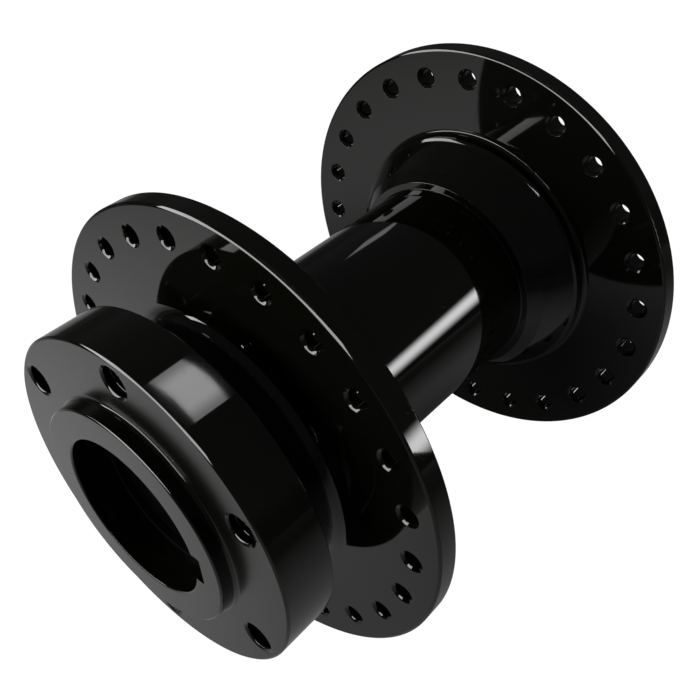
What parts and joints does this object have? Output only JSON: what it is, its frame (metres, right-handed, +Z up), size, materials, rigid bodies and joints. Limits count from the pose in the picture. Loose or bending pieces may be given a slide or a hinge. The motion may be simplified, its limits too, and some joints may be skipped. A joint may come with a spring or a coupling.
{
  "type": "tricycle rear hub",
  "caption": "Black disc-brake rear hub for a tricycle wheel, with spoke flanges, a bolted rotor seat and sealed bearings on a through bore for the axle.",
  "frame": {"origin": "on the hub's axis, midway between the middles of the two spoke flanges", "axes": "Y along the hub's axis with the rotor seat towards -Y, Z up, X level"},
  "size_m": [0.0712, 0.088, 0.0712],
  "materials": {
    "black_coated_alloy": "gloss black coating over machined aluminium",
    "bearing_steel": "ground, black oxide",
    "ball_steel": "polished",
    "cage_nylon": "moulded",
    "seal_rubber": "moulded",
    "clip_spring_steel": "dark phosphated",
    "sleeve_alloy": "turned"
  },
  "bodies": {
    "axle_side": {"bearing_inner_ring_rotor_side": "bearing_steel", "bearing_inner_ring_far_side": "bearing_steel", "spacer_sleeve": "sleeve_alloy"},
    "hub": {"hub_shell": "black_coated_alloy", "bearing_outer_ring_rotor_side": "bearing_steel", "bearing_outer_seal_rotor_side": "seal_rubber", "bearing_inner_seal_rotor_side": "seal_rubber", "retaining_clip_rotor_side": "clip_spring_steel", "bearing_outer_ring_far_side": "bearing_steel", "bearing_outer_seal_far_side": "seal_rubber", "bearing_inner_seal_far_side": "seal_rubber", "retaining_clip_far_side": "clip_spring_steel"},
    "cage_rotor_side": {"bearing_balls_rotor_side": "ball_steel", "bearing_cage_rotor_side": "cage_nylon"},
    "cage_far_side": {"bearing_balls_far_side": "ball_steel", "bearing_cage_far_side": "cage_nylon"}
  },
  "joints": [
    {"name": "hub_spin", "type": "hinge", "parent": "axle_side", "child": "hub", "pos_m": [0, 0, 0], "axis": [0, 1, 0], "continuous": true},
    {"name": "cage_rotor_side_spin", "type": "hinge", "parent": "axle_side", "child": "cage_rotor_side", "pos_m": [0, -0.03895, 0], "axis": [0, 1, 0], "continuous": true},
    {"name": "cage_far_side_spin", "type": "hinge", "parent": "axle_side", "child": "cage_far_side", "pos_m": [0, 0.0338, 0], "axis": [0, 1, 0], "continuous": true}
  ],
  "couplings": [
    {"joint": "cage_rotor_side_spin", "follows": "hub_spin", "ratio": 0.58819},
    {"joint": "cage_far_side_spin", "follows": "hub_spin", "ratio": 0.58819}
  ]
}
